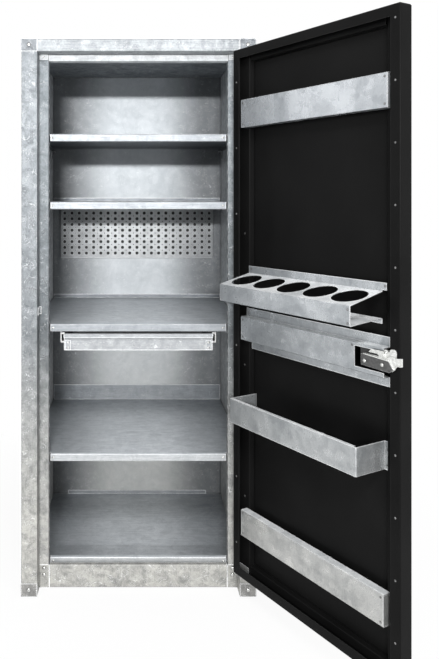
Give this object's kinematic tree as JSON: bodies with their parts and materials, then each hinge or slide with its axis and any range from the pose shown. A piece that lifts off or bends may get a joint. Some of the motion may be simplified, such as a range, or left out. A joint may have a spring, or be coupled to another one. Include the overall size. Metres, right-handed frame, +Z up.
{
  "type": "tool chest side locker",
  "caption": "Tall sheet steel side locker with shelves, a perforated tool panel, a small drawer and a hinged door carrying trays, a can holder and a latch.",
  "frame": {"origin": "floor level under the centre of the cabinet's footprint", "axes": "+Z up, -Y towards the front, +X towards the hinge side as seen from the front"},
  "size_m": [0.8304, 1.0808, 1.444],
  "materials": {
    "galvanised_sheet": "galvanised sheet steel, faint spangle",
    "galvanised_panel": "galvanised outer panel, faint spangle",
    "galvanised_shelf": "galvanised shelf, fine rolled grain",
    "galvanised_liner": "galvanised inner liner",
    "zinc_fastener": "zinc plated",
    "black_powder_coat": "satin black powder coat",
    "door_screw_zinc": "zinc plated, dull",
    "latch_cover_steel": "dark grey coated steel",
    "latch_zinc": "zinc plated steel",
    "handle_black": "satin black moulded",
    "lock_chrome": "polished chrome",
    "slide_zinc": "zinc plated slide steel"
  },
  "bodies": {
    "cabinet": {"left_side_panel": "galvanised_panel", "right_side_panel": "galvanised_panel", "back_panel": "galvanised_panel", "top_panel": "galvanised_panel", "floor_pan": "galvanised_shelf", "floor_stiffeners": "galvanised_sheet", "left_liner": "galvanised_liner", "right_liner": "galvanised_liner", "left_front_post": "galvanised_sheet", "right_front_post": "galvanised_sheet", "top_front_rail": "galvanised_sheet", "left_top_cap": "galvanised_sheet", "right_top_cap": "galvanised_sheet", "left_foot_cap": "galvanised_sheet", "right_foot_cap": "galvanised_sheet", "left_inner_post": "galvanised_sheet", "right_inner_post": "galvanised_sheet", "inner_top_rail": "galvanised_sheet", "inner_corner_plates": "galvanised_sheet", "kick_plate": "galvanised_sheet", "kick_brackets": "galvanised_sheet", "shelf_1": "galvanised_shelf", "shelf_2": "galvanised_shelf", "shelf_3": "galvanised_shelf", "shelf_4": "galvanised_shelf", "shelf_clips": "galvanised_sheet", "tool_panel": "galvanised_sheet", "drawer_hangers": "slide_zinc", "slide_outer_members": "slide_zinc", "latch_keeper": "galvanised_sheet", "hinge_frame_leaf": "black_powder_coat", "hinge_pin": "zinc_fastener", "frame_screws": "zinc_fastener", "shelf_rivets": "zinc_fastener"},
    "door": {"door_shell": "black_powder_coat", "door_hinge_channel": "black_powder_coat", "door_lock_channel": "black_powder_coat", "door_cross_channels": "black_powder_coat", "hinge_door_leaf": "black_powder_coat", "door_screws": "door_screw_zinc", "door_corner_clip": "galvanised_sheet", "upper_rail": "galvanised_sheet", "can_holder": "galvanised_sheet", "latch_bar": "galvanised_sheet", "middle_tray": "galvanised_sheet", "lower_rail": "galvanised_sheet", "latch_housing": "latch_cover_steel", "latch_cover": "latch_cover_steel", "latch_rivets": "zinc_fastener", "handle_rose": "handle_black"},
    "latch_lever_body": {"latch_lever": "latch_zinc"},
    "latch_tab_body": {"latch_tab": "latch_zinc"},
    "handle_body": {"door_handle": "handle_black"},
    "lock_body": {"lock_cylinder": "lock_chrome"},
    "drawer": {"drawer_box": "galvanised_sheet", "drawer_front": "galvanised_sheet", "drawer_corner_plates": "galvanised_sheet", "drawer_rivets": "zinc_fastener", "slide_inner_members": "slide_zinc"},
    "slide_middle": {"slide_middle_members": "slide_zinc"}
  },
  "joints": [
    {"name": "door_hinge", "type": "hinge", "parent": "cabinet", "child": "door", "pos_m": [0.268, -0.303, 0.742], "axis": [0, 0, 1], "range_deg": [-120, 50]},
    {"name": "drawer_slide", "type": "slide", "parent": "cabinet", "child": "drawer", "axis": [0, -1, 0], "range_m": [0, 0.35]},
    {"name": "slide_middle_travel", "type": "slide", "parent": "cabinet", "child": "slide_middle", "axis": [0, -1, 0], "range_m": [0, 0.175]},
    {"name": "handle_turn", "type": "hinge", "parent": "door", "child": "handle_body", "pos_m": [0.4939, -0.70027, 0.7035], "axis": [-0.866, -0.5, 0], "range_deg": [-60, 0]},
    {"name": "latch_lever_pivot", "type": "hinge", "parent": "door", "child": "latch_lever_body", "pos_m": [0.45286, -0.70318, 0.7035], "axis": [-0.866, -0.5, 0], "range_deg": [0, 8]},
    {"name": "lock_turn", "type": "hinge", "parent": "handle_body", "child": "lock_body", "pos_m": [0.51555, -0.68777, 0.7035], "axis": [-0.866, -0.5, 0], "range_deg": [0, 90]},
    {"name": "latch_tab_pivot", "type": "hinge", "parent": "door", "child": "latch_tab_body", "pos_m": [0.47909, -0.74462, 0.728], "axis": [-0.866, -0.5, 0], "range_deg": [0, 25]}
  ],
  "couplings": [
    {"joint": "slide_middle_travel", "follows": "drawer_slide", "ratio": 0.5},
    {"joint": "latch_lever_pivot", "follows": "handle_turn", "ratio": -0.13333}
  ]
}
